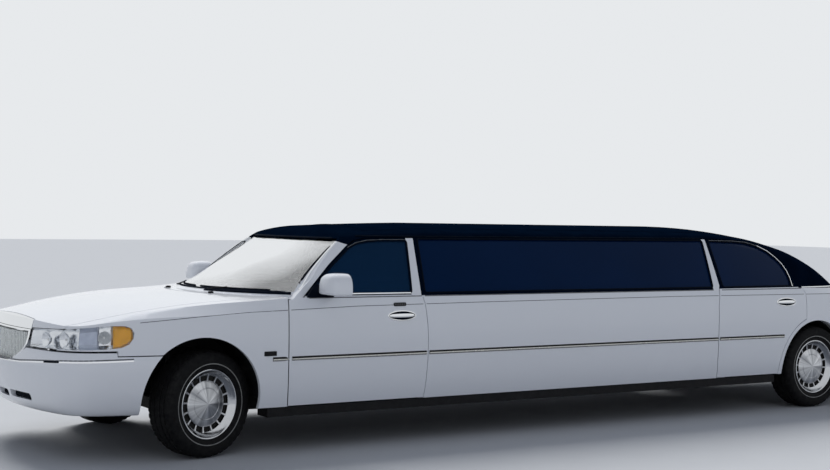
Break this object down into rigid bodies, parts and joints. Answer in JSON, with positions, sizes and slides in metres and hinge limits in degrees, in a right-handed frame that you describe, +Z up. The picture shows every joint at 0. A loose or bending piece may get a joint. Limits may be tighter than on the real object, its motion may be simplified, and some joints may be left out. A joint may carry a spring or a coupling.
{
  "type": "stretch limousine",
  "caption": "Long-wheelbase saloon with a stretched cabin, hinged doors, hood and trunk lid, steered front wheels and free-rolling rear wheels.",
  "frame": {"origin": "on the ground under the middle of the car's box, between the wheels", "axes": "+X towards the tail, -Y towards the car's left side, +Z up"},
  "size_m": [7.9984, 2.37, 1.4899],
  "materials": {
    "body_paint": "gloss white paint, clear coated",
    "roof_vinyl": "black grained vinyl stretched over the roof skin",
    "clear_glass": "clear laminated glass",
    "privacy_glass": "dark tinted safety glass",
    "bright_trim": "polished chrome plate",
    "wheel_alloy": "polished and machined alloy",
    "tyre_rubber": "black rubber with a pale side ring",
    "frame_black": "black chassis paint",
    "rocker_black": "satin black",
    "engine_iron": "cast, as built",
    "lamp_clear": "clear lens over bright reflectors",
    "lamp_red": "red lens",
    "floor_liner": "black liner and carpet",
    "cabin_trim": "dark grained plastic",
    "seat_leather": "black leather",
    "cabinet_wood": "dark varnished veneer",
    "pipe_steel": "dull steel"
  },
  "bodies": {
    "body": {"bar_cabinet": "cabinet_wood", "bulkhead": "frame_black", "centre_windows": "privacy_glass", "cowl": "body_paint", "cross_members": "frame_black", "dashboard": "cabin_trim", "engine": "engine_iron", "exhaust": "pipe_steel", "floor_pan": "floor_liner", "frame_rails": "frame_black", "front_bumper": "body_paint", "front_fenders": "body_paint", "front_seats": "seat_leather", "front_suspension": "frame_black", "fuel_tank": "frame_black", "grille": "bright_trim", "grille_insert": "bright_trim", "headlamps": "lamp_clear", "outriggers": "frame_black", "parcel_shelf": "cabin_trim", "partition": "cabin_trim", "propshaft": "pipe_steel", "rear_axle": "frame_black", "rear_bumper": "body_paint", "rear_quarters": "body_paint", "rear_seat": "seat_leather", "rear_window": "privacy_glass", "rockers": "rocker_black", "roof": "roof_vinyl", "side_couch": "seat_leather", "side_panels": "body_paint", "tail_lamps": "lamp_red", "wheel_housings": "floor_liner", "windshield": "clear_glass", "windshield_frame": "body_paint"},
    "door_front_left": {"front_door_left": "body_paint", "front_door_glass_left": "privacy_glass", "mirror_left": "body_paint"},
    "door_rear_left": {"rear_door_left": "body_paint", "rear_door_glass_left": "privacy_glass"},
    "knuckle_left": {"knuckle_left": "frame_black"},
    "wheel_front_left": {"wheel_front_left": "wheel_alloy", "tyre_front_left": "tyre_rubber"},
    "wheel_rear_left": {"wheel_rear_left": "wheel_alloy", "tyre_rear_left": "tyre_rubber"},
    "door_front_right": {"front_door_right": "body_paint", "front_door_glass_right": "privacy_glass", "mirror_right": "body_paint"},
    "door_rear_right": {"rear_door_right": "body_paint", "rear_door_glass_right": "privacy_glass"},
    "knuckle_right": {"knuckle_right": "frame_black"},
    "wheel_front_right": {"wheel_front_right": "wheel_alloy", "tyre_front_right": "tyre_rubber"},
    "wheel_rear_right": {"wheel_rear_right": "wheel_alloy", "tyre_rear_right": "tyre_rubber"},
    "hood": {"hood": "body_paint"},
    "trunk_lid": {"trunk_lid": "body_paint"}
  },
  "joints": [
    {"name": "steer_left", "type": "hinge", "parent": "body", "child": "knuckle_left", "pos_m": [-2.9745, -0.78, 0.338], "axis": [0, 0, 1], "range_deg": [-50, 20]},
    {"name": "steer_right", "type": "hinge", "parent": "body", "child": "knuckle_right", "pos_m": [-2.9745, 0.78, 0.338], "axis": [0, 0, 1], "range_deg": [-50, 20]},
    {"name": "spin_front_left", "type": "hinge", "parent": "knuckle_left", "child": "wheel_front_left", "pos_m": [-2.96803, -0.80415, 0.338], "axis": [-0.2588, 0.9659, 0], "continuous": true},
    {"name": "spin_rear_left", "type": "hinge", "parent": "body", "child": "wheel_rear_left", "pos_m": [2.5555, -0.8295, 0.338], "axis": [0, 1, 0], "continuous": true},
    {"name": "spin_front_right", "type": "hinge", "parent": "knuckle_right", "child": "wheel_front_right", "pos_m": [-2.98097, 0.80415, 0.338], "axis": [-0.2588, 0.9659, 0], "continuous": true},
    {"name": "spin_rear_right", "type": "hinge", "parent": "body", "child": "wheel_rear_right", "pos_m": [2.5555, 0.8295, 0.338], "axis": [0, 1, 0], "continuous": true},
    {"name": "hood_hinge", "type": "hinge", "parent": "body", "child": "hood", "pos_m": [-2.385, 0, 1.004], "axis": [0, 1, 0], "range_deg": [0, 55]},
    {"name": "trunk_hinge", "type": "hinge", "parent": "body", "child": "trunk_lid", "pos_m": [3.128, 0, 0.996], "axis": [0, -1, 0], "range_deg": [0, 75]},
    {"name": "door_front_left_hinge", "type": "hinge", "parent": "body", "child": "door_front_left", "pos_m": [-2.478, -0.955, 0.6], "axis": [0, 0, -1], "range_deg": [0, 65]},
    {"name": "door_rear_left_hinge", "type": "hinge", "parent": "body", "child": "door_rear_left", "pos_m": [1.324, -0.955, 0.6], "axis": [0, 0, -1], "range_deg": [0, 65]},
    {"name": "door_front_right_hinge", "type": "hinge", "parent": "body", "child": "door_front_right", "pos_m": [-2.478, 0.955, 0.6], "axis": [0, 0, 1], "range_deg": [0, 65]},
    {"name": "door_rear_right_hinge", "type": "hinge", "parent": "body", "child": "door_rear_right", "pos_m": [1.324, 0.955, 0.6], "axis": [0, 0, 1], "range_deg": [0, 65]}
  ],
  "couplings": [
    {"joint": "steer_right", "follows": "steer_left", "ratio": 1}
  ]
}
